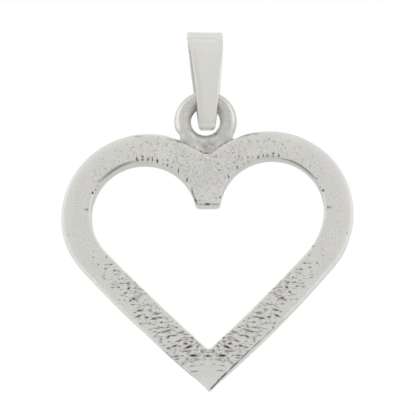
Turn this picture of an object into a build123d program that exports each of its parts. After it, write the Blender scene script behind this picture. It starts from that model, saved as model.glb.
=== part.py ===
from build123d import *

import os
from math import asin, atan2, cos, radians, sin, sqrt

# Silver heart pendant, hanging from a folded bail. Millimetres, +Z up, the front faces -Y.
# The origin is the middle of the bail's top bend, where the chain runs through along X.

# Bail: a tapered strip, folded over at the top, with its two ends soldered together
bend_radius = 2.1  # outside of the top bend
strip_thick = 0.55
bail_depth = 4.14  # front to back at the widest place of the legs
widest_drop = 2.1  # from the bend's middle down to that widest place
bail_drop = 6.55  # from the bend's middle down to the soldered ends
ends_joined = 0.55  # height over which the two ends lie on each other
crease_height = 1.26  # where each leg turns into the bend
bail_top_width = 3.06
bail_end_width = 1.35
bail_end_shift = 0.12  # the ends lie this far right of the bend's middle
end_corner = 0.3

# Ring: round wire, standing on the heart's cleft
ring_radius = 1.975  # middle of the wire
wire_diameter = 1.45
ring_drop = 5.84  # from the bend's middle down to the ring's middle

# Heart: a flat band round an open middle
heart_thick = 2.0
heart_shift = 0.3  # the heart's middle lies this far right of the ring's
lobe_radius = 7.26  # outer edge over each lobe
lobe_drop = 8.49  # each lobe's middle below the ring's middle
flank_radius = 6.56  # outer edge at each side, below the lobe
lobe_band = 2.35  # width of the band over the lobes
side_band = 2.45  # and at its widest places left and right
leg_width = 2.31  # and down the legs
inner_lift = 0.43  # the inner lobes' middles lie this much higher
inner_flank_step = 1.23  # the inner edge's flank radius is this much smaller
tip_drop = 23.37  # the tip below the ring's middle
outer_bow = 4.3  # degrees by which the outer edge of a leg bulges at its top
inner_bow = 2.05  # degrees, for the inner edge
nib_drop = 7.57  # the nib's flat end below the ring's middle
nib_width = 2.08
nib_corner = 0.4
inner_corner = 0.25  # where the legs meet inside
tip_round = 0.2
edge_round = 0.18  # worn front and back edges

# Foot: the wedge of solder that carries the ring in the cleft
foot_thick = 1.2
foot_width = 4.4  # at its neck
foot_shift = 0.1
neck_drop = 1.35  # the neck below the ring's middle
foot_flare = 0.2  # how far each side spreads onto the lobe

# The heart is shaped by hand and not quite even, so each side takes shares of the sizes above
# side, band at the side, drop, lobe radius, flank radius, bow
OUTER_SIDES = (
    (-1, 1.006, 1.018, 1.011, 0.968, 0.87),
    (1, 0.995, 0.982, 0.990, 1.034, 1.14),
)
# side, half width of the nib, drop, lobe radius, flank radius, bow
INNER_SIDES = (
    (-1, 1.108, 1.023, 1.004, 0.917, 0.80),
    (1, 0.893, 0.977, 0.996, 1.083, 1.20),
)

# The legs of the bail as shares of the mean of its top and end widths
# direction along Y, width at mid height, lean to the right at mid height
LEGS = (
    (-1, 0.94, 0.07),
    (1, 1.055, 0.0),
)

ring_middle = Vector(0, -ring_drop)
heart_top = ring_middle + Vector(heart_shift, 0)
tip = heart_top - Vector(0, tip_drop)


def circles_meet(first, first_radius, second, second_radius):
    """The upper of the two points where two circles cross."""
    apart = second - first
    along = (apart.length**2 + first_radius**2 - second_radius**2) / (2 * apart.length)
    across = sqrt(first_radius**2 - along**2)
    way = apart.normalized()
    foot = first + way * along
    left = Vector(-way.Y, way.X) * across
    return max(foot + left, foot - left, key=lambda point: point.Y)


def half_outline(side, lobe_middle, lobe_size, flank_size, bow, start, end):
    """One edge of the heart on one side: lobe, flank and leg, from its start down to its end."""
    outermost = lobe_middle + Vector(side * lobe_size, 0)
    flank_middle = outermost - Vector(side * flank_size, 0)

    # The leg leaves the flank steeper than the straight tangent would, so it bulges a little
    reach = flank_middle - end
    straight = atan2(reach.Y, side * reach.X) - asin(flank_size / reach.length)
    slope = straight + radians(bow)
    leg_top = flank_middle + Vector(side * sin(slope), -cos(slope)) * flank_size
    return [
        ThreePointArc(start, lobe_middle + Vector(0, lobe_size), outermost),
        TangentArc(outermost, leg_top, tangent=(0, -1)),
        TangentArc(leg_top, end, tangent=(-side * cos(slope), -sin(slope))),
    ]


def inner_lobes():
    """Side, nib end, middle and radius of the inner edge in each lobe, which starts at the nib."""
    nib_level = ring_middle.Y - nib_drop
    lobes = []
    for side, nib, drop, lobe, flank, bow in INNER_SIDES:
        nib_end = Vector(heart_top.X + side * nib * nib_width / 2, nib_level)
        level = heart_top.Y - drop * (lobe_drop - inner_lift)
        size = lobe * (lobe_radius - lobe_band - inner_lift)
        half_chord = sqrt(size**2 - (nib_level - level) ** 2)
        lobes.append((side, nib_end, Vector(nib_end.X + side * half_chord, level), size))
    return lobes


def outer_lobes():
    """Side, middle and radius of the outer edge over each lobe, a band's width from the inner."""
    lobes = []
    for inner, (side, band, drop, lobe, flank, bow) in zip(inner_lobes(), OUTER_SIDES):
        _, _, inner_middle, inner_size = inner
        size = lobe * lobe_radius
        middle_out = inner_size + band * side_band - size
        level = heart_top.Y - drop * lobe_drop
        lobes.append((side, Vector(inner_middle.X + side * middle_out, level), size))
    return lobes


def cleft():
    """The point where the two lobes meet at the top."""
    (_, left, left_radius), (_, right, right_radius) = outer_lobes()
    return circles_meet(left, left_radius, right, right_radius)


def outer_face():
    """The whole heart as one filled outline."""
    edges = []
    for (side, middle, size), (_, _, _, _, flank, bow) in zip(outer_lobes(), OUTER_SIDES):
        edges += half_outline(
            side, middle, size, flank * flank_radius, bow * outer_bow, cleft(), tip
        )
    face = make_face(edges)
    return fillet(face.vertices().sort_by(Axis.Y)[0], tip_round)


def opening_face():
    """The open middle, with the blunt nib standing into it from above."""
    # The legs meet at about a right angle, so the corner stands a diagonal above the tip
    corner = tip + Vector(0, leg_width * sqrt(2))
    edges = []
    nib_ends = []
    for lobe_here, (_, _, _, _, flank, bow) in zip(inner_lobes(), INNER_SIDES):
        side, nib_end, middle, size = lobe_here
        flank_size = flank * (flank_radius - inner_flank_step)
        edges += half_outline(side, middle, size, flank_size, bow * inner_bow, nib_end, corner)
        nib_ends.append(nib_end)
    edges.append(Line(nib_ends))
    face = make_face(edges)
    face = fillet(face.vertices().sort_by(Axis.Y)[0], inner_corner)

    # The nib's flat end is the one straight edge of the opening
    return fillet(face.edges().filter_by(GeomType.LINE).vertices(), nib_corner)


def band_solid():
    """The heart's band with its worn edges."""
    band = extrude(Plane.XZ * (outer_face() - opening_face()), heart_thick / 2, both=True)
    rims = band.faces().filter_by(Axis.Y).edges()
    return fillet(rims, edge_round)


def foot_solid():
    """The wedge of solder between the ring and the cleft."""
    neck = ring_middle.Y - neck_drop

    # It sinks in as deep as the worn edges are round, so no slit stays open behind them
    points = [cleft() - Vector(0, edge_round)]
    for side, middle, size in reversed(outer_lobes()):
        neck_end = Vector(foot_shift + side * foot_width / 2, neck)
        spread = neck_end.X + side * foot_flare
        lobe_level = middle.Y + sqrt(size**2 - (spread - middle.X) ** 2)
        on_lobe = Vector(spread, lobe_level - edge_round)
        points += [on_lobe, neck_end] if side > 0 else [neck_end, on_lobe]
    wedge = make_face(Polyline(points, close=True))
    wedge -= Pos(ring_middle) * Circle(ring_radius)
    return extrude(Plane.XZ * wedge, foot_thick / 2, both=True)


def heart_solid():
    """The band with the ring soldered onto it."""
    wire = Plane((0, 0, -ring_drop), z_dir=(0, 1, 0)) * Torus(ring_radius, wire_diameter / 2)
    return band_solid() + foot_solid() + wire


def on_side(side, point):
    """A point of the back leg's profile, taken to the front leg where the side is -1."""
    return Vector(side * point.X, point.Y)


def side_profile(inset):
    """The folded strip seen from the side, or its inside when inset by the strip's thickness."""
    half_depth = bail_depth / 2
    leg_reach = half_depth - strip_thick
    leg_drop = bail_drop - ends_joined - widest_drop
    leg_radius = (leg_reach**2 + leg_drop**2) / (2 * leg_reach) + strip_thick
    level = -widest_drop

    # The upper leg runs from its widest place to the crease, where the bend takes over
    crease_out = sqrt(bend_radius**2 - crease_height**2)
    rise = crease_height - level
    upper_radius = (rise**2 + (half_depth - crease_out) ** 2) / (2 * (half_depth - crease_out))
    upper_middle = Vector(half_depth - upper_radius, level)
    crease = circles_meet(Vector(0, 0), bend_radius - inset, upper_middle, upper_radius - inset)

    end_half = strip_thick - inset
    leg_middle = half_depth - leg_radius
    leg_size = leg_radius - inset
    leg_end = Vector(end_half, level - sqrt(leg_size**2 - (end_half - leg_middle) ** 2))
    widest = Vector(half_depth - inset, level)
    edges = []
    for side in (-1, 1):
        start = on_side(side, widest)
        leg_tip = on_side(side, leg_end)
        edges.append(TangentArc(start, leg_tip, tangent=(0, -1)))
        edges.append(TangentArc(start, on_side(side, crease), tangent=(0, 1)))
        if inset == 0:
            edges.append(Line(leg_tip, (side * end_half, -bail_drop)))
    edges.append(ThreePointArc(on_side(-1, crease), (0, bend_radius - inset), crease))
    if inset == 0:
        edges.append(Line((-end_half, -bail_drop), (end_half, -bail_drop)))
    return make_face(edges)


def leg_outline(width_share, lean_share):
    """The front view of one leg, from the soldered end up past the bend."""
    mean_width = (bail_top_width + bail_end_width) / 2
    mid_height = (crease_height - bail_drop) / 2
    middle = Vector(bail_end_shift / 2 + lean_share * mean_width, mid_height)
    edges = []
    tops = []
    ends = []
    for side in (-1, 1):
        tops.append(Vector(side * bail_top_width / 2, bend_radius))
        ends.append(Vector(bail_end_shift + side * bail_end_width / 2, -bail_drop))
        shoulder = Vector(side * bail_top_width / 2, crease_height)
        waist = middle + Vector(side * width_share * mean_width / 2, 0)
        edges.append(Line(tops[-1], shoulder))
        edges.append(ThreePointArc(shoulder, waist, ends[-1]))
    edges.append(Line(tops))
    edges.append(Line(ends))
    face = make_face(edges)
    return fillet(face.vertices().sort_by(Axis.Y)[:2], end_corner)


def bail_solid():
    """The strip folded to its side profile and cut to the taper of its two legs."""
    outside = side_profile(0)

    # Above the two end corners come the elbows, where the legs part
    elbows = outside.vertices().sort_by(Axis.Y)[2:4]
    outside = fillet(elbows, ends_joined)
    strip = extrude(Plane.YZ * (outside - side_profile(strip_thick)), bail_top_width, both=True)
    taper = None
    for way, width_share, lean_share in LEGS:
        leg = extrude(Plane.XZ * leg_outline(width_share, lean_share), -way * bail_depth)
        taper = leg if taper is None else taper + leg
    return strip & taper


os.makedirs("parts", exist_ok=True)
for name, solid in {"heart": heart_solid(), "bail": bail_solid()}.items():
    solid.label = name
    export_step(solid, f"parts/{name}.step")
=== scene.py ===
import math
import random
from contextlib import contextmanager

import bpy
import numpy as np
from mathutils import Matrix, Vector, noise


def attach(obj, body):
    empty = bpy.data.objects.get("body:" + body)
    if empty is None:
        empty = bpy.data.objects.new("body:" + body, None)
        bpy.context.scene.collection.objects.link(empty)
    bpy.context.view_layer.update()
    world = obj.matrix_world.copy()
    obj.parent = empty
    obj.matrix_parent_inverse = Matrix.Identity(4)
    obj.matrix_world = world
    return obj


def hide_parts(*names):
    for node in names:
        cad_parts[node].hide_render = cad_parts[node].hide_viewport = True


# A silver heart pendant hanging from a folded bail. The frame is in metres, +Z up, and the front
# faces -Y. The two pieces are worked in millimetres and brought to metres when they are done.
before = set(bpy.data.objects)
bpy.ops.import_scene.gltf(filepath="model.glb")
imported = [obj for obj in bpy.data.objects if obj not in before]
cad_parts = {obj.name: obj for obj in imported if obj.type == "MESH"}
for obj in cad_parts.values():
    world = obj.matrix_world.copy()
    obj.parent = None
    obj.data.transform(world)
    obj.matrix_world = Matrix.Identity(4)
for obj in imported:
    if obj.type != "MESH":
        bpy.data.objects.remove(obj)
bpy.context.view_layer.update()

MM = 0.001

# The camera, as the photograph was taken: a little from the right and from below
PHOTO_SIDE = 415  # pixels
PIXELS_PER_MM = 11.67  # at the target
CAMERA_TARGET = Vector((0.17, 0.0, -13.44)) * MM
CAMERA_DISTANCE = 220 * MM
CAMERA_AZIMUTH = 2.0
CAMERA_ELEVATION = -13.0

# The floor lies well below, and is small enough for the tent's sides to light the lower edges too
FLOOR_LEVEL = -200 * MM
FLOOR_SIZE = 400 * MM
# The tent's light, as shares of white
TENT_FRONT = 0.668  # and behind
TENT_ABOVE = 0.785
TENT_SIDES = 0.97

# Silver is near white and a little uneven, and whiter where it is rubbed and where a highlight is painted.
# Sulphide and painted shade darken it, and a grey darkens the bail where its shade and spots are painted.
CLEAN_SILVER = ("F3F2ED", "FBFAF5")
RUBBED_AND_HIGHLIT_SILVER = "FFFEFA"
SULPHIDE_AND_SHADE = "46423C"
BAIL_SHADE_AND_SPOTS = "8F8D88"
CARD = ("EDEDEB", "F3F3F1")

# The bail, with the same sizes as in the CAD, in millimetres
BEND_RADIUS = 2.1
STRIP_THICK = 0.55
HALF_DEPTH = 2.07
WIDEST_DROP = 2.1
BAIL_DROP = 6.55
ENDS_JOINED = 0.55
CREASE_HEIGHT = 1.26
TOP_WIDTH = 3.06
END_WIDTH = 1.35
END_SHIFT = 0.12
CORNER_CUT = 0.24  # of the soldered ends, before wear rounds them further
BACK_FROM = 0.9  # how far above the joint the back leg's inside edges start
BEND_STEPS = 12
UPPER_STEPS = (0.01, 0.04, 0.1, 0.2, 0.32, 0.45, 0.6, 0.8, 1)  # shares of the leg, crease to widest place
LOWER_STEPS = (0.12, 0.25, 0.38, 0.5, 0.62, 0.74, 0.86, 0.94, 1)  # and from there to where the legs join
ENDS_LINE = ((0.585, 0.14), (0.552, 0.3))  # below that: half the depth, and how far down
FRONT_LEG = (0.94, 0.07)  # width and lean at mid height, as shares of the mean width
BACK_LEG = (1.055, 0.0)
BAIL_EDGE = 0.19  # worn round
INSIDE_EDGE = 0.21  # the inside edges are rounded by this share of that
BACK_INSIDE_EDGE = 0.5  # those of the back leg by this one
RIGHT_EDGE = 0.5  # and the right edge of the front leg by this one
BACK_SHIFT = -0.045  # the top and the back leg lie a little left of the front leg
SHOULDER_CUT = (0.09, 0.75, 1.5)  # the front leg's left edge steps in: how far, fading from, and over
LEFT_OUT = -0.05  # and all of it lies a little further out
RIGHT_OUT = 0.03  # as the right edge does
TOP_BEND = (-0.01, -0.04, 0.03)  # the top edge's rise at the middle, and towards the right and both ends
ROUND_STEPS = 5  # faces across a rounded edge
SHARP = math.radians(38)
MARK_DEPTH = 0.02
# The planes that cut the bail into small faces: the axis across them, first, last and step
BAIL_CUTS = ((0, -1.5, 1.5, 0.08), (2, 0.6, 1.5, 0.05), (2, -6.5, -6, 0.06), (2, -5.8, 0.6, 0.3))
SAME_POINT = 0.0005
TOO_CLOSE = 0.003
SORT_PLACE = (0.3173, 0.0471, -2.2139)  # the bail's points are merged in order of distance from it

# The heart, in millimetres
HALF_THICK = 1.0
RING_DROP = 5.84
HOLE_RADIUS = 1.25
RING_REACH = 3  # how far the ring and the foot go to each side
# Bands round the ring's front, as radius and width
RING_HIGHLIGHT = (2.41, 0.1)
RING_SHOULDER = (2.2, 0.12)
RING_INNER_HALF = (1.63, 0.15)
RING_LIP = (1.42, 0.12)
CLEFT_LEVEL = -9.1
CLEFT_FILL = -0.97  # solder fills the point of the cleft up to here, almost to the front
VOXEL = 0.087
BACK_SHARE = 0.25  # of the faces, kept where there are no pits
FOOT_BOX = (-2.7, 2.9, -9.6, -6.6)  # left, right, low, high: where the solder blends in
SOLDER_STEPS = 22  # of smoothing
RIM_STEPS = 45
LOBE_MIDDLES = (-5.5, 5.8, -15)  # left, right and height
LEFT_EDGE = (-5.1, -24.57, -42.1)  # where the left leg's outer wall starts to lean, and the edge's slope
LEAN = 0.27  # how much further in that wall is at the back
FLARE = 0.17  # how far out it comes at the front
RIM_SPARE = 0.12  # how far out the outer rims start, which rounding takes back
TIP_SPARE = 0.1  # the same at the tip
PIT_DEPTH = 0.055
WAVES = (0.9, 0.008)  # unevenness of the whole casting: waves a millimetre, and depth
SWELLS = (3.1, 0.004)  # and of its front
MOTTLE = 7  # waves a millimetre of the ring's tarnish
# Where the front's edge is moved a little: across, down and reach in the photograph's pixels, then
# how far to the right and up, and how deep it fades out, in millimetres
FRONT_NUDGES = (
    (213, 386, 8, 0.15, -0.16, 1),
    (224, 377, 7, 0.05, -0.06, 1),
    (189, 145, 8, 0, -0.14, -0.6),
)

# Places on the front, in the photograph's pixels
MIRROR_LINE = 207.8  # down the middle
RING_NICK = (179.5, 134.4, 14)  # across, down and the square of its reach
TIP = (209, 391, 5)  # across, down and reach
CLEFT_POINT = (208, 155.5, 5, 2.5)  # across, down, reach across and down
# Zones: top, bottom, and from how far to how far off the mirror line
LEG_ZONE = (258, 392, 0, 112)
LOBE_ZONE = (151, 172, 0, 86)
CLEFT_ZONE = (148, 207, 0, 34)
FOOT_ZONE = (140, 157, 0, 28)
CREASE_ZONE = (155, 186, 70, 150)
RIGHT_WALL = (205, 320)  # right of this, and below this
# Fades: from and to, going down unless said otherwise
RIM_FADE = (300, 335)
INNER_RIM_FADE = (235, 260)
INNER_WALL_FADE = (195, 220)
GRAIN_FADE = (372, 382)
HAMMERED_START = (262, 290)
HAMMERED_FADE = (362, 376)
CALM_FADE = (245, 268)
CALM_FADE_ACROSS = (128, 158)
CALM_DEPTH = (3, 12)  # in from the outer edge
# The outer edge of the left lobe, as a circle: middle across and down, and radius
LOBE_EDGE = (144.5, 217.5, 82)

# The pits, charted in the same pixels on the left half. The pattern is the same on both halves,
# mirrored in the line down the middle, and on the right it lies a little higher.
RIGHT_LIFT = 3.0  # fully, down to LIFT_FROM, and none from LIFT_TO
LIFT_FROM = 170
LIFT_TO = 350

# Each pit: across, down, length, height, tilt in degrees (rising to the right), depth share
LEG_PITS = (
    (118.5, 287.3, 2.6, 1.2, 0, .6), (128.8, 288.2, 3, 1.6, 35, .8), (141.8, 289.8, 2, 1.6, 0, .35),
    (125.7, 293, 3, 1.6, 30, .6), (145.5, 293.7, 3.5, 1.2, -15, .4), (130.5, 300.5, 2.6, 1.4, 0, .65),
    (133.8, 298.9, 3.4, 1.6, 15, .8), (136.8, 299.4, 2, 1, 0, .55), (132.5, 304.5, 2.6, 1, 0, .55),
    (139.3, 304.7, 2, 1, 0, .35), (145, 305.2, 6, .9, 8, .4), (148.3, 304.4, 3, 1, 0, .45),
    (139.5, 310.7, 5, 1.5, 5, .65), (134.8, 312.4, 2.4, 1, 0, .55), (150.4, 311, 3, 1.6, 0, .4),
    (157, 313.6, 7, .9, 12, .55), (138.7, 316, 5, 1.6, 22, .7), (146.6, 317.5, 3.6, 1.4, 0, .75),
    (154.5, 318.5, 6, 1.3, 15, .75), (159.5, 317.5, 5, 1, 0, .7), (161.4, 322.4, 2.6, 1.2, 0, .7),
    (171.5, 321.5, 2.4, .9, 0, .4), (168.2, 325.4, 2.6, 1, 15, .4), (161, 327.5, 6, .9, 0, .55),
    (176.4, 327.5, 2.8, 1.1, 0, .6), (171, 329.4, 4.5, .9, 8, .4), (165.5, 331.5, 8, 1, 3, .6),
    (159, 332.6, 3.5, 1, 15, .5), (181, 332.4, 6, 1.1, 5, .6), (182.8, 331, 2, 1, 0, .4),
    (168.8, 336.4, 4, 1.4, 25, .75), (173.5, 335.5, 6, 1, 0, .6), (177.5, 333.8, 2, 1, 50, .45),
    (186, 334.5, 6, .9, 0, .45), (185, 337.5, 3.5, .8, 0, .4), (161.5, 338.5, 2.8, 1, 0, .55),
    (191.9, 337.8, 2.2, 1.8, 0, .6), (185.5, 339.6, 5, .8, 0, .4), (178.5, 341, 4.6, 1.2, 18, .65),
    (161.5, 341.5, 2.2, 1, 0, .5), (191.5, 341.4, 4, 1.1, 0, .6), (165, 344.5, 3.4, .8, 10, .4),
    (185.5, 343.7, 3.8, 1.6, 5, .8), (196.8, 342.8, 2, 1.8, 0, .4), (174.8, 345.7, 4.4, 1.4, 15, .8),
    (179.8, 346.3, 3, 1.1, 0, .6), (188.8, 346.9, 6, 1.8, 22, .95), (184.5, 348.7, 3, 1, 0, .5),
    (197.6, 346.6, 3, 1.6, 50, .6), (169.3, 347.5, 3.2, 1.2, 0, .65), (186.5, 351, 8, 1.1, 7, .6),
    (202, 350.8, 2.6, 2, 25, .55), (208.2, 352.3, 2.2, .9, 0, .55), (208, 355.8, 3, 1.6, 0, .85),
    (173.3, 355.5, 2, 1, 0, .45), (177.3, 355.4, 5, 1, 0, .6), (182.7, 355.4, 2.6, 1, 0, .5),
    (193.3, 355.6, 6.5, 1.9, 0, .95), (199, 356, 2, 1, 0, .45), (187.5, 358.9, 2.8, 1, 20, .55),
    (198.5, 359.3, 5, .9, 3, .4), (184.5, 362.3, 3.4, 1, 0, .45), (192.5, 362, 3.4, 1, 0, .35),
    (195, 370.6, 6, .9, 0, .45), (197.2, 379.7, 2, 1.4, 0, .4),
)
SIDE_PITS = (
    (98.4, 264.4, 1.6, 1.2, 0, .6), (106, 264.5, 3, 1, 0, .4), (110.7, 264.5, 3.4, 1.2, 0, .55),
    (105.8, 268.7, 2.4, 1.5, 0, .5), (114.7, 270.4, 2.8, 1.3, 0, .65), (118.5, 271.2, 3, 1, 0, .35),
    (140.9, 323.4, 1.8, 1.6, 0, .55), (119.2, 300, 1.6, 1.2, 0, .4), (124.3, 300.3, 1.8, 1.1, 0, .4),
    (104, 278.5, 2.4, 1, 0, .45), (119.3, 279.3, 2, 1, 0, .5), (122.4, 278.5, 1.6, 1.3, 0, .7),
    (121.2, 283.4, 4.6, 1, 0, .55), (127.7, 283.4, 4.2, 1.1, 0, .65), (134.8, 282.5, 2.4, 1, -30, .4),
    (85.4, 209.5, 1.8, 1.2, 0, .55), (87.5, 209.6, 1.6, 1.8, 0, .6), (68.4, 235, 1, 2, 0, .3),
)
LOBE_PITS = (
    (92.8, 193, 2, 2, 0, .95), (95.6, 190, 1.4, 2.2, 0, .65), (98.4, 181.5, 1.4, 1, 0, .4),
    (136.8, 159.3, 1.6, 4, 0, .7), (138.2, 160.6, 1.4, 2, 0, .6), (142.5, 156.5, 1.8, 1.8, 0, .75),
    (142.6, 159.8, 3, 2.5, 0, .5), (147.3, 159.8, 1.2, 4, 0, .6), (149, 158.8, 1.2, 3.5, 0, .5),
    (152.4, 159.3, 1.2, 4.5, 0, .65), (157.3, 161, 1.6, 4, 0, .8), (163.3, 164, 1.6, 1.6, 0, .5),
    (167.4, 165.3, 1.6, 2.6, 0, .65), (171.5, 167.3, 1.6, 1.8, 0, .5), (178.4, 171, 1.2, 4.4, 0, .75),
    (186.9, 180, 4.4, 1.4, 70, .7), (132.8, 147.4, 1.4, 1.4, 0, .45), (146.4, 142, 1.2, 1.6, 0, .4),
    (182.8, 156, 1.6, 1.6, 0, .35), (127.2, 144.4, 1.3, 1.3, 0, .35), (158.3, 143.9, 1.1, 1.5, 0, .35),
    (166, 144.6, 1.2, 2, 0, .35), (174.4, 144.4, 1.5, 1.2, 0, .3), (141, 147.6, 1.8, 1.4, 0, .15),
    (99.6, 181.5, 4, 2, 50, .35), (97.3, 186, 4, 1.6, 62, .3), (93.6, 251.1, 1.1, 1.3, 0, .35),
    (92.9, 257.1, 1.3, 1.3, 0, .4), (106.4, 256.9, 1.3, 2, 0, .4), (163, 160, 1.2, 2.2, 20, .3),
    (167.8, 160.2, 1.3, 2.4, 20, .38), (173.5, 162.4, 1.3, 2.2, 20, .38), (177, 158.5, 1.4, 1.6, 20, .32),
    (181, 165, 1.2, 2.4, 25, .3), (187, 171.5, 1.4, 2, 30, .3), (184, 186, 1.2, 1.2, 0, .3),
    (196.7, 173, 1.2, 1.6, 0, .4), (140.6, 145, 1.4, 1.1, 0, .3), (142.3, 144.2, 1.1, 1.1, 0, .25),
    (171.4, 151.4, 1.2, 1.2, 0, .3), (180.6, 155, 1.3, 1, 0, .35), (186.7, 156.1, 1.2, 1, 0, .35),
    (182.2, 165.5, 1.8, 1.2, 30, .3), (193.9, 176.1, 1.1, 1.6, 0, .35), (190.6, 180.6, 1.2, 1.4, 0, .35),
    (192.8, 188.3, 1.2, 1.5, 0, .35), (201.7, 196.7, 1.3, 1.3, 0, .3), (199.4, 200.6, 2.2, 1.2, 30, .35),
    (155.3, 150.2, 1.1, 1.4, 0, .25), (205.3, 163.2, 1.6, 1.1, -20, .3), (201, 159.7, 2.4, 1.1, -25, .3),
    (204, 173.5, 1.3, 1.2, 0, .25),
)
# The painted shadow in the crease under the inner edge of each lobe, pressed in a little as well
LOBE_CREASE_SHADOWS = (
    (132.5, 162.1, 8, 1.9, 14, .28), (128.5, 163.1, 9, 2.2, 17, .36), (124.5, 164.6, 9, 2.5, 21, .42),
    (120.5, 166.3, 9, 2.7, 26, .46), (116.5, 168.5, 9, 2.8, 31, .48), (113, 170.8, 9, 2.8, 34, .48),
    (109.5, 173.3, 9, 2.7, 37, .47), (106.3, 175.9, 9, 2.5, 41, .44), (103.3, 178.6, 8, 2.2, 45, .38),
)
PITS = LEG_PITS + SIDE_PITS + LOBE_PITS

# The rest is not mirrored. Fine lines along the top edges of the lobes, beside the foot
TOP_LINES = (
    (240, 137, 9, 1.3, 22, .3), (247.5, 135, 8, 1.3, 14, .42), (254.5, 133.6, 8, 1.2, 8, .35),
    (136.5, 136.4, 4, 1.2, 0, .35), (139.5, 136.6, 6, 1.2, 0, .22), (171, 139.6, 6, 1.1, -14, .28),
    (178, 141.2, 7, 1.6, -20, .5), (184.5, 142.8, 6, 1.6, -22, .4),
)
# Pits along the nib and at the cleft, and two on the right lobe's inner edge
NIB_PITS = (
    (192.5, 192.3, 7, 1.3, -72, .7), (194.2, 197.3, 5, 1.2, -68, .6), (195.6, 200.6, 4, 1.6, -65, 1),
    (196.6, 203.2, 2.4, 1.3, -60, .6), (201.5, 204.4, 8, 1.1, 0, .4), (207.5, 204.4, 5, 2, 4, 1),
    (213.7, 204.3, 3, 1.2, 0, .6), (217, 204.5, 3, 1.2, 0, .55), (218.9, 204.5, 2.4, 1.6, 0, .95),
    (220.4, 197, 2.4, 1.8, 60, .75), (285, 161.3, 4, 1.2, -8, .55), (313.2, 246, 1.8, 1.8, 0, .5),
    (219.5, 170.3, 1.6, 1.4, 0, .45), (218, 163.8, 2, 2, 0, .35), (216.3, 156.2, 1.4, 1.4, 0, .4),
    (239, 156.3, 2, 1, 0, .45), (235, 157.5, 1.6, 1, 0, .35),
)
# The dark creases where the front meets the outer walls, down to the tip, and two spots on the right
TIP_CREASES = (
    (213.3, 386.6, 12, 1.5, 47, .8), (218.5, 381.2, 9, 1.6, 46, .8), (223.6, 376.1, 12, 1.8, 44, .9),
    (234, 365.7, 15, 1.4, 45, .85), (273.2, 327.6, 1.5, 2.2, 0, .7), (267.6, 333, 2.5, 1, 42, .45),
    (245.5, 354.6, 15, 1.1, 44, .75), (257, 343.8, 15, 1, 43, .65), (268.5, 332.8, 14, .9, 43, .45),
    (279.5, 322.8, 12, .8, 43, .35), (170.6, 354.2, 14, 1, -43, .4), (180.8, 363.7, 14, 1, -43, .4),
    (191, 373.2, 13, 1, -43, .42), (199, 380.7, 8, 1.1, -43, .45), (197.3, 379.5, 3, 1.3, -42, .5),
)
# Scratches on the foot, the seam along its lower edge, darkened with painted shadow, and spots on the ring
FOOT_PITS = (
    (204.4, 147.3, 6, 1.2, -46, .5), (207, 146.4, 5, 1, -60, .38), (209.3, 143.8, 3.5, 1, -45, .35),
    (198.5, 142, 4, 1, -45, .25), (202, 144.7, 3, 1, -38, .3), (211.8, 147, 4, 1, 50, .22),
    (185.5, 143.2, 5, 1.2, -38, .3), (193.8, 148.6, 3.5, 1.4, -35, .4), (200.3, 151.6, 4, 1.6, -5, .6),
    (206.5, 153.5, 5, 1.5, -25, .6), (215.3, 149.6, 5, 1.6, 38, .3), (220.7, 146, 6, 2, 35, .42),
    (226, 142.2, 7, 1.9, 32, .38), (231.3, 138.8, 6, 1.6, 30, .32), (185.8, 141.6, 5, 1.3, -35, .3),
    (194, 147, 3.5, 1.4, -35, .35), (212.3, 136.5, 5, 1.6, 25, .3), (216, 134.2, 5, 2, 45, .5),
    (219.4, 130, 5, 1.6, 60, .3), (189.7, 103.5, 1.6, 1.1, 30, .25), (188.3, 105, 1.4, 1, 30, .2),
    (187, 107.3, 1.8, 1.1, 30, .22), (185.4, 109.2, 2, 1, 40, .15), (183.6, 111.4, 1.6, 1.2, 30, .22),
)
# Stains on the foot, and painted highlights on it, as at the lip of the hole
FOOT_STAINS = (
    (208.8, 142.2, 4.5, 2.4, 75, .17), (212.3, 144.8, 4.5, 2.4, 15, .16), (204.5, 145.5, 7, 4, -45, .13),
    (199.5, 142, 6, 2, -40, .1), (208.5, 149.5, 6, 4, 0, .12), (196.8, 150, 5, 1.6, -25, .2),
)
FOOT_HIGHLIGHTS = (
    (193.5, 136, 9, 2.8, -50, 1), (202, 140.3, 9, 2, -8, .7), (196.5, 146.5, 9, 5, -35, .9),
    (213, 139.4, 7, 1.8, 20, .5), (219.5, 143, 6, 3.5, 38, .6),
)
# The painted shade in the crease and along the foot, and a few spots of the bail
BAIL_MARKS = (
    (196, 38.2, 13, 1.2, 0, .07), (207, 38.4, 14, 1.2, 0, .1), (215, 38.4, 5, 1.1, -10, .07),
    (217.8, 39.5, 4, 1.1, -38, .07), (219, 41.2, 1.6, 1.6, 0, .1), (208, 129.9, 15, 1.5, 0, .08),
    (208, 125.6, 20, 2.6, 0, .035), (212.2, 129.3, 2.6, 1.7, 0, .5), (201.7, 129.6, 2.4, 1.5, 0, .28),
    (190.3, 57.2, 1.6, 1.8, 0, .12),
)

# Fainter pits, scattered with a fixed seed over the left half, and mirrored
FAINT_SEED = 7
# left, right, top, bottom, number, longest, highest, steepest tilt, deepest
FAINT_PITS = (
    (100, 208, 270, 366, 520, 4, 1, 22, .5),
    (150, 208, 325, 362, 90, 5, 1.1, 20, .6),
    (92, 208, 137, 187, 420, 1.1, 2.5, 30, .22),
    (62, 116, 150, 270, 260, 1.3, 1.4, 30, .14),
    (168, 208, 152, 203, 340, 2.8, 1, 70, .2),
    (126, 172, 278, 326, 120, 3.6, 1, 14, .45),
)
# A strip along the leg's outer edge has none: a point on its upper side, its slope, and where it ends.
# Higher up the leg it is wider.
CLEAN_STRIP = (125, 307.5, 0.908, 350)
STRIP_WIDER = (9, 306, 324)  # by how much across, down to where, and where that has faded out


def linear(code):
    """The linear colour of an sRGB hex code."""
    shares = [int(code[i:i + 2], 16) / 255 for i in (0, 2, 4)]
    return [s / 12.92 if s <= 0.04045 else ((s + 0.055) / 1.055) ** 2.4 for s in shares] + [1]


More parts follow.
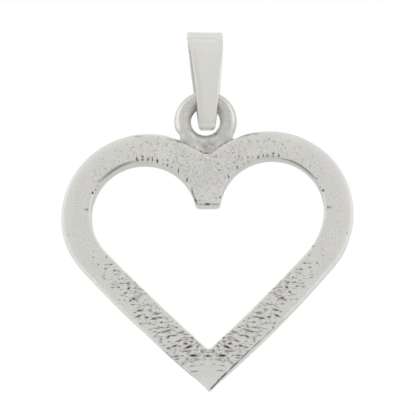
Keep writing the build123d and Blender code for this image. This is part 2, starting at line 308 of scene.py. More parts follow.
def camera_axes():
    """The camera's place and its right, up and backward directions."""
    azimuth = math.radians(CAMERA_AZIMUTH)
    elevation = math.radians(CAMERA_ELEVATION)
    back = Vector((
        math.sin(azimuth) * math.cos(elevation),
        -math.cos(azimuth) * math.cos(elevation),
        math.sin(elevation),
    ))
    right = Vector((0, 0, 1)).cross(back).normalized()
    return CAMERA_TARGET + back * CAMERA_DISTANCE, right, back.cross(right), back


def photo_places(points):
    """Where points in millimetres lie in the photograph, in its pixels."""
    place, right, up, back = [np.array(v) for v in camera_axes()]
    ways = points - place / MM
    depth = -ways @ back
    focal = PIXELS_PER_MM * CAMERA_DISTANCE / MM
    middle = PHOTO_SIDE / 2
    return middle + focal * (ways @ right) / depth, middle - focal * (ways @ up) / depth


# Work on a piece


def work_on(piece):
    bpy.ops.object.select_all(action="DESELECT")
    piece.select_set(True)
    bpy.context.view_layer.objects.active = piece


@contextmanager
def editing(piece, select=None, kind=None):
    """Edit mode on a piece, with all or none of it selected, and a kind of element to select."""
    work_on(piece)
    bpy.ops.object.mode_set(mode="EDIT")
    if kind:
        bpy.ops.mesh.select_mode(type=kind)
    if select:
        bpy.ops.mesh.select_all(action=select)
    yield
    bpy.ops.object.mode_set(mode="OBJECT")


def apply_modifier(piece, kind, **settings):
    work_on(piece)
    modifier = piece.modifiers.new(kind.title(), kind)
    for name, value in settings.items():
        setattr(modifier, name, value)
    bpy.ops.object.modifier_apply(modifier=modifier.name)


def merge_doubles(piece, distance):
    with editing(piece, "SELECT"):
        bpy.ops.mesh.remove_doubles(threshold=distance)


def points_of(piece):
    points = np.zeros(len(piece.data.vertices) * 3)
    piece.data.vertices.foreach_get("co", points)
    return points.reshape(-1, 3)


def normals_of(piece):
    normals = np.zeros(len(piece.data.vertices) * 3)
    piece.data.vertex_normals.foreach_get("vector", normals)
    return normals.reshape(-1, 3)


def move_points(piece, points):
    piece.data.vertices.foreach_set("co", points.ravel())
    piece.data.update()


def cut_across(piece, axis, places):
    """Cuts a piece's faces by planes across an axis, so that they can carry fine marks."""
    way = Vector((0, 0, 0))
    way[axis] = 1
    with editing(piece):
        for place in places:
            bpy.ops.mesh.select_all(action="SELECT")
            bpy.ops.mesh.bisect(plane_co=way * place, plane_no=way)


def sort_points(piece, place):
    """Puts points in order of their distance from a place, because cutting leaves them in any order."""
    bpy.context.scene.cursor.location = place
    with editing(piece, "SELECT"):
        bpy.ops.mesh.sort_elements(type="CURSOR_DISTANCE", elements={"VERT"})


def spread(piece, values, times):
    """Averages values over each point's neighbours, a number of times."""
    ends = np.zeros(len(piece.data.edges) * 2, np.int32)
    piece.data.edges.foreach_get("vertices", ends)
    first, second = ends.reshape(-1, 2).T
    count = np.maximum(np.bincount(ends, minlength=len(values)), 1)
    for _ in range(times):
        total = np.bincount(first, values[second], len(values))
        total += np.bincount(second, values[first], len(values))
        values = total / count
    return values


def smooth_where(piece, weights, times):
    """Smooths a piece, at each point as strongly as its weight."""
    group = piece.vertex_groups.new(name="smoothed")
    for index in np.flatnonzero(weights > 0.01):
        group.add([int(index)], float(weights[index]), "REPLACE")
    apply_modifier(piece, "SMOOTH", factor=0.5, iterations=times, vertex_group="smoothed")
    piece.vertex_groups.clear()


def keep_values(piece, name, values):
    attribute = piece.data.attributes.new(name, "FLOAT", "POINT")
    attribute.data.foreach_set("value", values.astype(np.float32))


def smooth_step(values, low, high):
    share = np.clip((values - low) / (high - low), 0, 1)
    return share * share * (3 - 2 * share)


def band(values, middle, width):
    """From 1 in the middle of a soft band down to 0 outside it."""
    return np.exp(-(((values - middle) / width) ** 2))


def noise_at(points, scale):
    return np.array([noise.noise(Vector(point) * scale) for point in points])


def to_metres(piece):
    piece.data.transform(Matrix.Scale(MM, 4))


# The bail


def leg_reach(height, inset):
    """Half the bail's depth at a height of its legs, outside, or inside when inset."""
    fall = height + WIDEST_DROP
    if fall > 0:
        rise = CREASE_HEIGHT + WIDEST_DROP
        slack = HALF_DEPTH - math.sqrt(BEND_RADIUS**2 - CREASE_HEIGHT**2)
        radius = (rise**2 + slack**2) / (2 * slack)
    else:
        inner_reach = HALF_DEPTH - STRIP_THICK
        drop = BAIL_DROP - ENDS_JOINED - WIDEST_DROP
        radius = (inner_reach**2 + drop**2) / (2 * inner_reach) + STRIP_THICK
    return HALF_DEPTH - radius + math.sqrt(max((radius - inset) ** 2 - fall**2, 0))


def strip_depth(points):
    """How far inside the strip's outer surface each point lies."""
    reach = np.array([leg_reach(min(height, CREASE_HEIGHT), 0) for height in points[:, 2]])
    bend = BEND_RADIUS - np.hypot(points[:, 1], points[:, 2])
    return np.where(points[:, 2] > CREASE_HEIGHT, bend, reach - np.abs(points[:, 1]))


def side_line(inset):
    """The bail's side view as a closed loop of points, outside, or inside when inset."""
    crotch = -BAIL_DROP + ENDS_JOINED
    crease_angle = math.asin(CREASE_HEIGHT / BEND_RADIUS)
    half = []
    for step in range(BEND_STEPS + 1):
        angle = math.pi / 2 - (math.pi / 2 - crease_angle) * step / BEND_STEPS
        radius = BEND_RADIUS - inset
        half.append((radius * math.cos(angle), radius * math.sin(angle)))
    for share in UPPER_STEPS:
        height = half[BEND_STEPS][1] - share * (half[BEND_STEPS][1] + WIDEST_DROP)
        half.append((leg_reach(height, inset), height))
    for share in LOWER_STEPS:
        height = -WIDEST_DROP + share * (crotch + WIDEST_DROP)
        half.append((max(leg_reach(height, inset), 0), height))
    if inset:
        half += [(0, crotch)] * (len(ENDS_LINE) + 2)
    else:
        half += [(reach, crotch - drop) for reach, drop in ENDS_LINE]
        half += [(STRIP_THICK, -BAIL_DROP), (0, -BAIL_DROP)]
    return half + [(-reach, height) for reach, height in half[-2:0:-1]]


def add_side_loop(inset):
    """A circle shaped to the bail's side view, standing across X."""
    line = side_line(inset)
    bpy.ops.object.select_all(action="DESELECT")
    bpy.ops.mesh.primitive_circle_add(vertices=len(line), radius=1, location=(0, 0, 0))
    loop = bpy.context.object
    for vertex, (reach, height) in zip(loop.data.vertices, line):
        vertex.co = (-0.5, reach, height)
    return loop


def leg_edges(height, front):
    """The left and right edge of a leg at a height."""
    if height >= CREASE_HEIGHT:
        return BACK_SHIFT - TOP_WIDTH / 2, BACK_SHIFT + TOP_WIDTH / 2
    width_share, lean = FRONT_LEG if front else BACK_LEG
    mean = (TOP_WIDTH + END_WIDTH) / 2
    share = (height - CREASE_HEIGHT) / (-BAIL_DROP - CREASE_HEIGHT)
    middle = END_SHIFT / 2 + lean * mean
    edges = []
    for side in (-1, 1):
        top = side * TOP_WIDTH / 2
        waist = middle + side * width_share * mean / 2
        end = END_SHIFT + side * END_WIDTH / 2
        upper = top * (1 - share) * (1 - 2 * share) + waist * 4 * share * (1 - share)
        edges.append(upper + end * share * (2 * share - 1))
    if front:
        cut, cut_from, cut_length = SHOULDER_CUT
        below = max(cut_from - height, 0)
        step = smooth_step(CREASE_HEIGHT - height, -0.04, 0.5)
        edges[0] += (cut * math.exp(-((below / cut_length) ** 2)) + LEFT_OUT) * step
        edges[1] += RIGHT_OUT * step
    else:
        edges = [edge + BACK_SHIFT * smooth_step(height, -BAIL_DROP, 0) for edge in edges]
    return edges


def fold_strip():
    """The strip's side view bridged from two loops, and drawn out across."""
    piece = add_side_loop(0)
    inner = add_side_loop(STRIP_THICK)
    work_on(piece)
    inner.select_set(True)
    bpy.ops.object.join()
    piece.name = "folded_bail"
    with editing(piece, "SELECT"):
        bpy.ops.mesh.bridge_edge_loops()
        bpy.ops.mesh.select_all(action="SELECT")
        bpy.ops.mesh.remove_doubles(threshold=SAME_POINT)
        bpy.ops.mesh.extrude_region_move(TRANSFORM_OT_translate={"value": (1, 0, 0)})
        bpy.ops.mesh.select_all(action="SELECT")
        bpy.ops.mesh.normals_make_consistent(inside=False)
        bpy.ops.mesh.select_all(action="DESELECT")
    return piece


def taper_strip(piece):
    """Tapers the strip, and rounds the corners of its soldered ends."""
    for edge in piece.data.edges:
        ends = [piece.data.vertices[i].co for i in edge.vertices]
        edge.select = all(abs(end.z + BAIL_DROP) < 0.001 for end in ends) and ends[0].x == ends[1].x
    for vertex in piece.data.vertices:
        left, right = leg_edges(vertex.co.z, vertex.co.y < 0)
        vertex.co.x = left if vertex.co.x < 0 else right
    with editing(piece):
        bpy.ops.mesh.bevel(offset=CORNER_CUT, segments=ROUND_STEPS, affect="EDGES")
    merge_doubles(piece, SAME_POINT)


def wear_edges(piece):
    """Wears every sharp edge round, those of the inside less."""
    with editing(piece, "DESELECT", "EDGE"):
        bpy.ops.mesh.edges_select_sharp(sharpness=SHARP)
    points = points_of(piece)
    _, y, z = points.T
    inner = strip_depth(points) > STRIP_THICK / 2
    back = (y > 0) & (z > -BAIL_DROP + ENDS_JOINED + BACK_FROM)
    weights = piece.data.attributes.new("bevel_weight_edge", "FLOAT", "EDGE")
    for edge, weight in zip(piece.data.edges, weights.data):
        ends = list(edge.vertices)
        if edge.select and inner[ends].all():
            weight.value = BACK_INSIDE_EDGE if back[ends].all() else INSIDE_EDGE
        elif edge.select:
            on_right = (points[ends, 0] > END_SHIFT).all() and (points[ends, 1] < 0).all()
            weight.value = RIGHT_EDGE if on_right else 1
    apply_modifier(
        piece, "BEVEL", width=BAIL_EDGE, segments=ROUND_STEPS, limit_method="WEIGHT", use_clamp_overlap=False,
    )
    merge_doubles(piece, SAME_POINT)


def mark_bail(piece):
    """Bends the top edge up, presses the marks in, and keeps where the bail is darker, mostly as painted
    shade, and where its highlight is painted.
    """
    points = points_of(piece)
    x, y, z = points.T
    aside = (x - BACK_SHIFT) / (TOP_WIDTH / 2)
    at_middle, to_right, to_ends = TOP_BEND
    z += smooth_step(z, 1, 2) * (at_middle + to_right * aside + to_ends * aside**2)

    # The inside is darker, except at the right, as painted shade. On the front there are the marks,
    # a darker dip beside the left edge, and duller edges, painted shade that damps their highlights.
    depth = strip_depth(points)
    inside = smooth_step(depth, 0.3, 0.5) * (z > -BAIL_DROP + ENDS_JOINED - 0.05)
    inside *= 1 - smooth_step(x, 0.6, 1)
    front = smooth_step(-depth, -0.25, -0.12) * (y < 0)
    marks = pit_shares(*photo_places(points), BAIL_MARKS) * front
    left, right = np.array([leg_edges(height, True) for height in z]).T
    from_left = x - left
    from_right = right - x
    dip = 0.1 * band(from_left, 0.33, 0.15) * smooth_step(-z, -0.4, 0.3)
    on_high = smooth_step(z, -1.6, -0.6) * (y < 0)
    high_right = 0.13 * (1 - smooth_step(from_right, 0.05, 0.2)) * on_high
    shaded_edge = front * (0.18 * (1 - smooth_step(from_left, 0.1, 0.24)) + dip) + high_right
    shaded_edge *= z < CREASE_HEIGHT
    keep_values(piece, "tarnish_and_shade", np.maximum(0.22 * inside, 1 - (1 - marks) ** 1.7 + shaded_edge))

    # A broken painted highlight: a bright line below the crease
    below_crease = band(z, CREASE_HEIGHT - 0.27, 0.17)
    broken = 0.75 + 1.2 * noise_at(points * (1, 0, 1), 2)
    crease_highlight = front * below_crease * smooth_step(from_left, 0.2, 0.5) * np.clip(broken, 0, 1)
    keep_values(piece, "crease_highlight", crease_highlight)
    y += MARK_DEPTH * marks
    move_points(piece, points)


def make_bail():
    """The folded strip, in many small faces where it has marks."""
    piece = fold_strip()
    taper_strip(piece)
    wear_edges(piece)
    for axis, first, last, step in BAIL_CUTS:
        cut_across(piece, axis, np.arange(first, last, step))
    sort_points(piece, SORT_PLACE)
    merge_doubles(piece, TOO_CLOSE)
    mark_bail(piece)
    work_on(piece)
    bpy.ops.object.shade_smooth_by_angle(angle=SHARP)
    to_metres(piece)
    return piece


# The heart


def copy_of(node):
    """A merged copy of a CAD node's mesh, in millimetres."""
    piece = bpy.data.objects.new(node + "_worked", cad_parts[node].data.copy())
    bpy.context.collection.objects.link(piece)
    piece.data.transform(Matrix.Scale(1 / MM, 4))
    piece.data.materials.clear()
    merge_doubles(piece, 0.001)
    return piece


def select_faces(piece, choose):
    """Selects only the faces whose middles and normals a function chooses."""
    count = len(piece.data.polygons)
    middles = np.zeros(count * 3)
    normals = np.zeros(count * 3)
    piece.data.polygons.foreach_get("center", middles)
    piece.data.polygons.foreach_get("normal", normals)
    chosen = choose(middles.reshape(-1, 3), normals.reshape(-1, 3))
    with editing(piece, "DESELECT", "FACE"):
        pass
    piece.data.polygons.foreach_set("select", chosen)


def in_zone(across, down, zone):
    """Which places lie in a zone of the front."""
    top, bottom, nearest, farthest = zone
    off_line = np.abs(across - MIRROR_LINE)
    return (down > top) & (down < bottom) & (off_line >= nearest) & (off_line < farthest)


def pitted_front(middles, normals):
    """The front of the legs, the inner edge of the lobes, the nib and the foot, which have the pits."""
    across, down = photo_places(middles)
    front = (middles[:, 1] < -HALF_THICK + 0.05) & (normals[:, 1] < -0.8)
    zones = [in_zone(across, down, zone) for zone in (LEG_ZONE, LOBE_ZONE, CLEFT_ZONE)]
    foot = (middles[:, 1] < -0.4) & (normals[:, 1] < -0.5) & in_zone(across, down, FOOT_ZONE)
    return front & np.logical_or.reduce(zones) | foot


def hollow_shares(piece, normals):
    """How hollow the surface is at each point, from 0 to 1, averaged over its neighbours."""
    points = points_of(piece)
    pull = np.stack([spread(piece, points[:, axis], 1) for axis in range(3)], axis=1) - points
    return smooth_step(spread(piece, (pull * normals).sum(axis=1), 2), 0.001, 0.006)


def scattered_pits():
    """The fainter pits of the left half."""
    draw = random.Random(FAINT_SEED)
    strip_across, strip_down, slope, strip_end = CLEAN_STRIP
    wider, full_to, faded_at = STRIP_WIDER
    pits = []
    for left, right, top, bottom, number, longest, highest, steepest, deepest in FAINT_PITS:
        for _ in range(number):
            pit = (
                draw.uniform(left, right), draw.uniform(top, bottom),
                draw.uniform(0.35, 1) * longest, draw.uniform(0.6, 1) * highest,
                draw.uniform(-0.4, 1) * steepest, draw.uniform(0.2, 1) * deepest,
            )
            widened = wider * min(max((faded_at - pit[1]) / (faded_at - full_to), 0), 1)
            in_strip = pit[1] > strip_down + slope * (pit[0] - strip_across - widened)
            if top < 260 or pit[1] > strip_end or not in_strip:
                pits.append(pit)
    return pits


def right_lift(down):
    """How much higher the right half's pits lie than the left half's."""
    return RIGHT_LIFT * np.clip((LIFT_TO - down) / (LIFT_TO - LIFT_FROM), 0, 1)


def on_both_halves(pits):
    """Pits of the left half, and the same mirrored onto the right."""
    both = []
    for across, down, length, height, tilt, depth in pits:
        both.append((across, down, length, height, tilt, depth))
        both.append((2 * MIRROR_LINE - across, down - right_lift(down), length, height, -tilt, depth))
    return both


def calm_shares(across, down):
    """Where the outer part of each lobe is smooth, from 0 to 1."""
    on_right = across > MIRROR_LINE
    down = np.where(on_right, down + right_lift(down), down)
    across = np.where(on_right, 2 * MIRROR_LINE - across, across)
    middle_across, middle_down, radius = LOBE_EDGE
    off_edge = radius - np.hypot(across - middle_across, down - middle_down)
    calm = 1 - smooth_step(off_edge, *CALM_DEPTH)
    return calm * (1 - smooth_step(across, *CALM_FADE_ACROSS)) * (1 - smooth_step(down, *CALM_FADE))


def pit_shares(across, down, pits):
    """How deep the pits are at each place, from 0 to 1."""
    shares = np.zeros(len(across))
    for pit_across, pit_down, length, height, tilt, depth in pits:
        reach = max(length, height) * 1.3
        near = np.flatnonzero((np.abs(across - pit_across) < reach) & (np.abs(down - pit_down) < reach))
        angle = math.radians(tilt)
        step_across = across[near] - pit_across
        step_down = down[near] - pit_down
        along = step_across * math.cos(angle) - step_down * math.sin(angle)
        over = step_across * math.sin(angle) + step_down * math.cos(angle)
        far = (along / (length / 2)) ** 2 + (over / (height / 2)) ** 2
        shares[near] = np.maximum(shares[near], depth * np.exp(-0.65 * far**1.3))
    return shares


def rough_casting():
    """The solid's own shape in small even faces: fewer where it is plain, more where it is pitted."""
    shape = copy_of("heart")
    piece = copy_of("heart")
    piece.name = "pitted_heart"
    apply_modifier(piece, "REMESH", mode="VOXEL", voxel_size=VOXEL, use_smooth_shade=True)
    apply_modifier(piece, "SHRINKWRAP", target=shape, wrap_method="NEAREST_SURFACEPOINT")
    bpy.data.objects.remove(shape)

    # Behind the front, fewer faces will do, but not on the ring or under the creases
    points = points_of(piece)
    x, y, z = points.T
    across, down = photo_places(points)
    on_ring = (z > CLEFT_LEVEL) & (np.abs(x) < RING_REACH)
    by_crease = in_zone(across, down, CREASE_ZONE) & (y < 0)
    by_crease |= (across > RIGHT_WALL[0]) & (down > RIGHT_WALL[1]) & (y < -0.2)
    plain = (y > -0.6) & ~on_ring & ~by_crease
    group = piece.vertex_groups.new(name="plain")
    group.add([int(index) for index in np.flatnonzero(plain)], 1, "REPLACE")
    share = np.count_nonzero(plain) / len(points)
    apply_modifier(piece, "DECIMATE", ratio=1 - share * (1 - BACK_SHARE), vertex_group="plain")
    piece.vertex_groups.clear()
    select_faces(piece, pitted_front)
    with editing(piece):
        bpy.ops.mesh.subdivide(number_cuts=1)
    return piece


def smooth_solder(piece, points):
    """Lets solder run out smoothly between the ring, the foot and the lobes."""
    x, y, z = points.T
    left, right, low, high = FOOT_BOX
    in_foot = smooth_step(x, left - 0.2, left + 0.2) * smooth_step(-x, -right - 0.2, 0.2 - right)
    in_foot = in_foot * smooth_step(z, low - 0.2, low + 0.2) * smooth_step(-z, -high - 0.2, 0.3 - high)
    smooth_where(piece, in_foot * (1 - smooth_step(np.abs(y), 0.8, 0.95)), SOLDER_STEPS)


def wear_rims(piece, across, down):
    """Rubs the rims rounder than cut, the outer ones of the lobes most, and moves the front's edge.

    Gives back which points face away from the middle of their lobe, and the inner rims."""
    points = points_of(piece)
    x, y, z = points.T
    normals = normals_of(piece)
    in_box = (z > FOOT_BOX[2]) & (np.abs(x) < RING_REACH)
    rim = smooth_step(-y - np.where(in_box, 0.86, 0.5), 0, np.where(in_box, 0.08, 0.25))
    rim *= 1 - smooth_step(-normals[:, 1], 0.995, 0.9999)
    left_middle, right_middle, middle_height = LOBE_MIDDLES
    on_left = x < (left_middle + right_middle) / 2
    from_middle = x - np.where(on_left, left_middle, right_middle)
    outer = normals[:, 0] * from_middle + normals[:, 2] * (z - middle_height) > 0
    inner_rim = spread(piece, rim * ~outer, 2)
    rim *= np.where(outer, 1 - 0.85 * smooth_step(down, *RIM_FADE), 0.2)
    out = RIM_SPARE * rim * (outer & ~in_box) / np.maximum(np.hypot(normals[:, 0], normals[:, 2]), 0.5)
    points[:, [0, 2]] += normals[:, [0, 2]] * out[:, None]
    tip_across, tip_down, tip_reach = TIP
    z -= TIP_SPARE * band(across, tip_across, tip_reach) * band(down, tip_down, tip_reach)
    for nudge_across, nudge_down, reach, right_by, up_by, fade in FRONT_NUDGES:
        near = band(across, nudge_across, reach) * band(down, nudge_down, reach)
        near *= np.clip((fade - y) / (fade + 0.9), 0, 1)
        x += right_by * near
        z += up_by * near
    move_points(piece, points)
    smooth_where(piece, np.clip(2 * spread(piece, rim, 12), 0, 1), RIM_STEPS)
    return outer, inner_rim


def shape_walls(points, across, down):
    """The nick on the left of the ring, and the left leg's outer wall, which leans in to the back."""
    x, y, z = points.T
    nick_across, nick_down, nick_reach = RING_NICK
    off_nick = (across - nick_across) ** 2 + (down - nick_down) ** 2
    x += (np.abs(y) < 0.9) * 0.24 * np.exp(-off_nick / nick_reach)

    edge_left, edge_height, slope = LEFT_EDGE
    along = np.array((math.cos(math.radians(slope)), math.sin(math.radians(slope))))
    step = points[:, [0, 2]] - (edge_left, edge_height)
    outward = step @ (along[1], -along[0])
    down_leg = step @ along
    here = smooth_step(outward, -1.2, 0) * smooth_step(down_leg, -2.5, 2)
    here *= 1 - smooth_step(down_leg, 5, 7.4)
    lean = here * (LEAN * (1 + y) / 2 - FLARE)
    x -= lean * along[1]
    z += lean * along[0]


def fill_cleft(points, normals, across, down):
    """Fills the point of the cleft with solder. Gives back where solder can lie."""
    _, y, z = points.T
    solder = (y > -0.9) & (z > CLEFT_LEVEL - 0.5)
    middle_across, middle_down, reach_across, reach_down = CLEFT_POINT
    filled = band(across, middle_across, reach_across) * band(down, middle_down, reach_down)
    y += filled * solder * (normals[:, 1] < -0.3) * (CLEFT_FILL - y)
    return solder


def pit_depths(points, across, down, front, outer):
    """The charted pits, creases and lines of the front, as shares of the full depth."""
    y = points[:, 1]
    inside_lobes = smooth_step(-y, 0.1, 0.4) * ~outer
    return np.maximum.reduce([
        pit_shares(across, down, on_both_halves(PITS)) * front,
        pit_shares(across, down, on_both_halves(LOBE_CREASE_SHADOWS)) * inside_lobes,
        pit_shares(across, down, TOP_LINES) * smooth_step(-y, 0.6, 0.8),
        pit_shares(across, down, NIB_PITS + TIP_CREASES) * smooth_step(-y, 0.55, 0.8),
    ])


def ring_tarnish_shade_and_highlight(points, normals, across, down, uneven, hollow):
    """How tarnished the ring and the foot are, with painted shade, and where the ring's painted highlight
    runs.
    """
    x, y, z = points.T
    above_middle = z + RING_DROP
    ring_out = np.hypot(x, above_middle)
    hole_rim = 1 - smooth_step(ring_out - HOLE_RADIUS, 0.02, 0.3)
    hole_rim *= np.abs(y) < 0.75
    on_foot = 1 - smooth_step(above_middle, -1.6, -0.8)
    faces_front = normals[:, 1] < 0
    # A painted highlight along the ring: less tarnish and a lighter colour there, weaker towards the top and
    # ending higher on the right
    highlight = band(ring_out, *RING_HIGHLIGHT) * (1 - 0.7 * smooth_step(above_middle, 0.9, 1.9))
    highlight *= smooth_step(above_middle + np.where(x > 0, 0.6, 1.6), 0, 0.8)
    shoulder = band(ring_out, *RING_SHOULDER) * (1 - on_foot)
    below_hole = band(ring_out, *RING_LIP) * smooth_step(-above_middle, 0.6, 1)
    # Painted shade: darker round the ring's inner half, damping the reflection there, and in a band beside
    # the highlight, narrowing it
    dull = 0.17 + 0.08 * on_foot + 0.1 * band(ring_out, *RING_INNER_HALF) + 0.07 * shoulder + uneven
    # Darker on the right side of the ring
    dull += 0.06 * smooth_step(x, 0.9, 1.5) * (1 - on_foot)
    dull *= (1 - hole_rim) * (1 - 0.8 * highlight)
    # Painted highlights on the foot have less tarnish
    dull *= 1 - 0.8 * pit_shares(across, down, FOOT_HIGHLIGHTS) * faces_front
    # A darker band below the hole, and the stains of the foot
    dull += 0.1 * hollow + (0.33 * below_hole + pit_shares(across, down, FOOT_STAINS)) * faces_front
    return dull, highlight


def make_heart():
    """The band, the foot and the ring, as one worn and pitted casting."""
    piece = rough_casting()
    points = points_of(piece)
    across, down = photo_places(points)
    front = smooth_step(-points[:, 1], 0.72, 0.84) * smooth_step(-normals_of(piece)[:, 1], 0.1, 0.4)
    smooth_solder(piece, points)
    outer, inner_rim = wear_rims(piece, across, down)

    points = points_of(piece)
    x, y, z = points.T
    normals = normals_of(piece)
    across, down = photo_places(points)
    shape_walls(points, across, down)
    solder = fill_cleft(points, normals, across, down)

    # Pits, and the casting's unevenness
    face = smooth_step(-y, 0.9, 0.96) * smooth_step(-normals[:, 1], 0.9, 0.98)
    calm = calm_shares(across, down)
    faint = pit_shares(across, down, on_both_halves(scattered_pits())) * face * (1 - calm)
    seams = pit_shares(across, down, FOOT_PITS) * smooth_step(-normals[:, 1], 0, 0.4) * solder
    depth = np.maximum.reduce([pit_depths(points, across, down, front, outer), faint, seams])
    (wave_scale, wave_depth), (swell_scale, swell_depth) = WAVES, SWELLS
    swell = noise_at(points, swell_scale)
    uneven = 0.07 * swell + 0.1 * noise_at(points, MOTTLE)
    sunk = PIT_DEPTH * depth + wave_depth * noise_at(points, wave_scale) + swell_depth * swell * front
    points -= normals * sunk[:, None]
    hollow = hollow_shares(piece, normals)
    move_points(piece, points)

    # Tarnish, which has settled in the pits and on the ring, darker walls inside the lobes near the top, and
    # painted shade on the rims
    thickness = np.abs(y)
    facing = np.abs(normals[:, 1])
    dull, highlight = ring_tarnish_shade_and_highlight(points, normals, across, down, uneven, hollow)
    soldered = smooth_step(z, CLEFT_LEVEL - 0.4, CLEFT_LEVEL + 0.2)
    soldered *= 1 - smooth_step(thickness, 0.86, 0.92)
    soldered *= smooth_step(-np.abs(x), -RING_REACH, 0.3 - RING_REACH)
    inner_wall = ~outer * (facing < 0.5) * (1 - smooth_step(down, *INNER_WALL_FADE))
    # Painted shade on the calm outer rims and on the inner rims, which damps their highlights
    outer_rim = 0.11 * calm * smooth_step(-facing, -0.98, -0.8)
    inner_rim *= 0.08 * (1 - smooth_step(down, *INNER_RIM_FADE))
    dull = np.maximum(dull * soldered, 0.1 * inner_wall + inner_rim + outer_rim)
    # The pits are darkened by tarnish; the creases under the lobes and the seam of the foot carry painted
    # shadow
    keep_values(piece, "tarnish_and_shade", np.maximum(1 - (1 - depth) ** 1.7, dull))

    # Where the skin is grainy, hammered or rubbed bright, and the ring's painted highlight
    grain = face * (1 - smooth_step(down, *GRAIN_FADE)) * (1 - 0.8 * calm)
    keep_values(piece, "grain", np.maximum(grain, 0.4 * smooth_step(y, 0.9, 0.96)))
    hammered = face * smooth_step(down, *HAMMERED_START) * (1 - smooth_step(down, *HAMMERED_FADE))
    keep_values(piece, "hammered", hammered)
    rubbed_and_highlight = 0.2 * smooth_step(thickness, 0.7, 0.8) * smooth_step(-facing, -0.985, -0.9)
    keep_values(piece, "rubbed_and_highlight", np.where(soldered > 0.5, 0.5 * highlight, rubbed_and_highlight))
    work_on(piece)
    bpy.ops.object.shade_smooth()
    to_metres(piece)
    return piece


# Materials


def add(tree, kind, links=(), values=(), **settings):
    """Adds one shader node with its settings, its values and its incoming links."""
    node = tree.nodes.new(kind)
    for name, value in settings.items():
        setattr(node, name, value)
    for socket, value in dict(values).items():
        node.inputs[socket].default_value = value
    for socket, source in dict(links).items():
        tree.links.new(source, node.inputs[socket])
    return node


def add_noise(tree, place, scale, detail, roughness=0.5):
    """Even noise, with a number of waves to the metre."""
    values = {"Scale": scale, "Detail": detail, "Roughness": roughness}
    return add(tree, "ShaderNodeTexNoise", {"Vector": place}, values).outputs["Fac"]


def add_range(tree, value, low, high, to_low, to_high, kind="LINEAR"):
    """A value brought from one range to another, and held at its ends."""
    values = {"From Min": low, "From Max": high, "To Min": to_low, "To Max": to_high}
    return add(tree, "ShaderNodeMapRange", {"Value": value}, values, interpolation_type=kind).outputs[0]


def add_blend(tree, share, first, second):
    """A share between two colours: a hex code or a node's colour, and a hex code."""
    links, values = {0: share}, {7: linear(second)}
    if isinstance(first, str):
        values[6] = linear(first)
    else:
        links[6] = first
    return add(tree, "ShaderNodeMix", links, values, data_type="RGBA").outputs[2]


def add_kept(tree, name):
    """The values kept on a piece's points under a name."""
    return add(tree, "ShaderNodeAttribute", attribute_name=name).outputs["Fac"]


def new_metal(name):
    material = bpy.data.materials.new(name)
    material.use_nodes = True
    shader = material.node_tree.nodes["Principled BSDF"]
    shader.inputs["Metallic"].default_value = 1
    return material, material.node_tree, shader


def pitted_sterling_silver():
    # Cast 925 silver, matt from the mould: near white, soft highlights, with fine grain and
    # sulphide tarnish left in the pits, which a rub with a cloth doesn't reach, and painted shade and
    # highlights
    material, tree, shader = new_metal("pitted_sterling_silver")
    place = add(tree, "ShaderNodeTexCoord").outputs["Object"]
    tarnish_and_shade = add_kept(tree, "tarnish_and_shade")
    grain = add_kept(tree, "grain")
    # Rubbed rims, and the ring's painted highlight
    rubbed_and_highlight = add_kept(tree, "rubbed_and_highlight")
    hammered = add_kept(tree, "hammered")

    # Grain of about 0.15 mm, dents of 0.4 by 0.15 mm on the legs, and handling marks of a few millimetres
    fine = add_noise(tree, place, 7000, 2.5, 0.6)
    flat = add(tree, "ShaderNodeMapping", {"Vector": place}, {"Scale": (0.4, 1, 1)}).outputs[0]
    dents = add_noise(tree, flat, 6500, 2)
    clean = add_blend(tree, add_noise(tree, place, 420, 2), *CLEAN_SILVER)
    bright = add_blend(tree, rubbed_and_highlight, clean, RUBBED_AND_HIGHLIT_SILVER)

    # Tarnish and painted shade are dark and dull, in the pits and as specks in the grain. What is rubbed, and
    # the painted highlight, is lighter and shines more.
    speck = add_range(tree, fine, 0.36, 0.6, 0.17, 0)
    in_grain = add(tree, "ShaderNodeMath", {0: speck, 1: grain}, operation="MULTIPLY").outputs[0]
    grime_and_shade = add(tree, "ShaderNodeMath", {0: in_grain, 1: tarnish_and_shade}, operation="ADD", use_clamp=True).outputs[0]
    tree.links.new(add_blend(tree, grime_and_shade, bright, SULPHIDE_AND_SHADE), shader.inputs["Base Color"])
    dull = add_range(tree, grime_and_shade, 0, 1, 0.42, 0.62)
    sheen = add(tree, "ShaderNodeMath", {0: rubbed_and_highlight, 2: dull}, {1: -0.22}, operation="MULTIPLY_ADD")
    tree.links.new(sheen.outputs[0], shader.inputs["Roughness"])

    strength = add_range(tree, grain, 0, 1, 0.08, 0.5)
    bump = add(tree, "ShaderNodeBump", {"Height": fine, "Strength": strength}, {"Distance": 0.05 * MM})
    links = {"Height": dents, "Strength": hammered, "Normal": bump.outputs[0]}
    dented = add(tree, "ShaderNodeBump", links, {"Distance": 0.06 * MM})
    tree.links.new(dented.outputs[0], shader.inputs["Normal"])
    return material


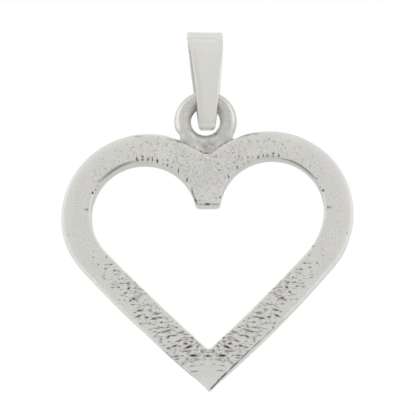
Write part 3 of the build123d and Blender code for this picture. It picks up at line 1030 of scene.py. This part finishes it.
def satin_sterling_silver():
    # Rolled 925 silver sheet, bent and rubbed to a satin: smoother and a little lighter than the cast
    material, tree, shader = new_metal("satin_sterling_silver")
    place = add(tree, "ShaderNodeTexCoord").outputs["Object"]
    broad = add_noise(tree, place, 500, 3)
    clean = add_blend(tree, broad, *CLEAN_SILVER)
    # The painted highlight below the crease
    lighter = add_blend(tree, add_kept(tree, "crease_highlight"), clean, RUBBED_AND_HIGHLIT_SILVER)
    # Painted shade on the inside and the edges, with the marks
    darker = add_blend(tree, add_kept(tree, "tarnish_and_shade"), lighter, BAIL_SHADE_AND_SPOTS)
    tree.links.new(darker, shader.inputs["Base Color"])
    tree.links.new(add_range(tree, broad, 0.3, 0.7, 0.42, 0.48), shader.inputs["Roughness"])

    # Fine lines along the strip, as the rolls leave them
    stretched = add(tree, "ShaderNodeMapping", {"Vector": place}, {"Scale": (1, 1, 0.12)}).outputs[0]
    lines = add_noise(tree, stretched, 9000, 3)
    bump = add(tree, "ShaderNodeBump", {"Height": lines}, {"Strength": 0.08, "Distance": 0.03 * MM})
    tree.links.new(bump.outputs[0], shader.inputs["Normal"])
    return material


def pale_card():
    # Matt off-white card, even and without gloss
    material = bpy.data.materials.new("pale_card")
    material.use_nodes = True
    tree = material.node_tree
    shader = tree.nodes["Principled BSDF"]
    place = add(tree, "ShaderNodeTexCoord").outputs["Object"]
    colour = add_blend(tree, add_noise(tree, place, 900, 2), *CARD)
    tree.links.new(colour, shader.inputs["Base Color"])
    shader.inputs["Roughness"].default_value = 0.9
    return material


# Studio


def add_floor():
    bpy.ops.object.select_all(action="DESELECT")
    bpy.ops.mesh.primitive_plane_add(size=FLOOR_SIZE, location=(0, 0, 0))
    floor = bpy.context.object
    floor.name = "pale_floor"
    floor.data.transform(Matrix.Translation((0, 0, FLOOR_LEVEL)))
    floor.data.materials.append(pale_card())


def add_light_tent():
    """A light tent: grey in front and behind, lighter above, white at the sides, darker below."""
    world = bpy.data.worlds.new("light_tent")
    bpy.context.scene.world = world
    world.use_nodes = True
    tree = world.node_tree
    tree.nodes.clear()
    way = add(tree, "ShaderNodeTexCoord").outputs["Generated"]
    parts = add(tree, "ShaderNodeSeparateXYZ", {0: way}).outputs
    above = add_range(tree, parts["Z"], 0.3, 0.9, TENT_FRONT, TENT_ABOVE, "SMOOTHSTEP")
    aside = add(tree, "ShaderNodeMath", {0: parts["X"]}, operation="ABSOLUTE").outputs[0]
    side = add_range(tree, aside, 0.3, 0.85, 0, 1, "SMOOTHSTEP")
    ahead = add_range(tree, parts["Y"], 0.2, 0.6, 1, 0.3, "SMOOTHSTEP")
    high = add_range(tree, parts["Z"], -0.55, 0, 0.4, 1, "SMOOTHSTEP")
    beside = add(tree, "ShaderNodeMath", {0: side, 1: ahead}, operation="MULTIPLY").outputs[0]
    lit = add(tree, "ShaderNodeMath", {0: beside, 1: high}, operation="MULTIPLY").outputs[0]
    level = add(tree, "ShaderNodeMix", {0: lit, 2: above}, {3: TENT_SIDES}, data_type="FLOAT")
    tent = add(tree, "ShaderNodeBackground", {"Color": level.outputs[0]})

    # Straight behind the pendant the camera sees white paper
    paper = add(tree, "ShaderNodeBackground", values={"Color": (1, 1, 1, 1)})
    seen = add(tree, "ShaderNodeLightPath").outputs["Is Camera Ray"]
    mixed = add(tree, "ShaderNodeMixShader", {0: seen, 1: tent.outputs[0], 2: paper.outputs[0]})
    add(tree, "ShaderNodeOutputWorld", {"Surface": mixed.outputs[0]})


def add_camera():
    place, _, _, back = camera_axes()
    bpy.ops.object.camera_add(location=place, rotation=back.to_track_quat("Z", "Y").to_euler())
    camera = bpy.context.object
    focal_pixels = PIXELS_PER_MM * CAMERA_DISTANCE / MM
    camera.data.lens = camera.data.sensor_width * focal_pixels / PHOTO_SIDE
    camera.data.clip_start = 10 * MM
    bpy.context.scene.camera = camera


bail = make_bail()
bail.data.materials.append(satin_sterling_silver())
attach(bail, "bail")
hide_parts("bail")

heart = make_heart()
heart.data.materials.append(pitted_sterling_silver())
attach(heart, "heart")
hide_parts("heart")

add_floor()
add_light_tent()
bpy.context.scene.view_settings.view_transform = "Standard"
add_camera()
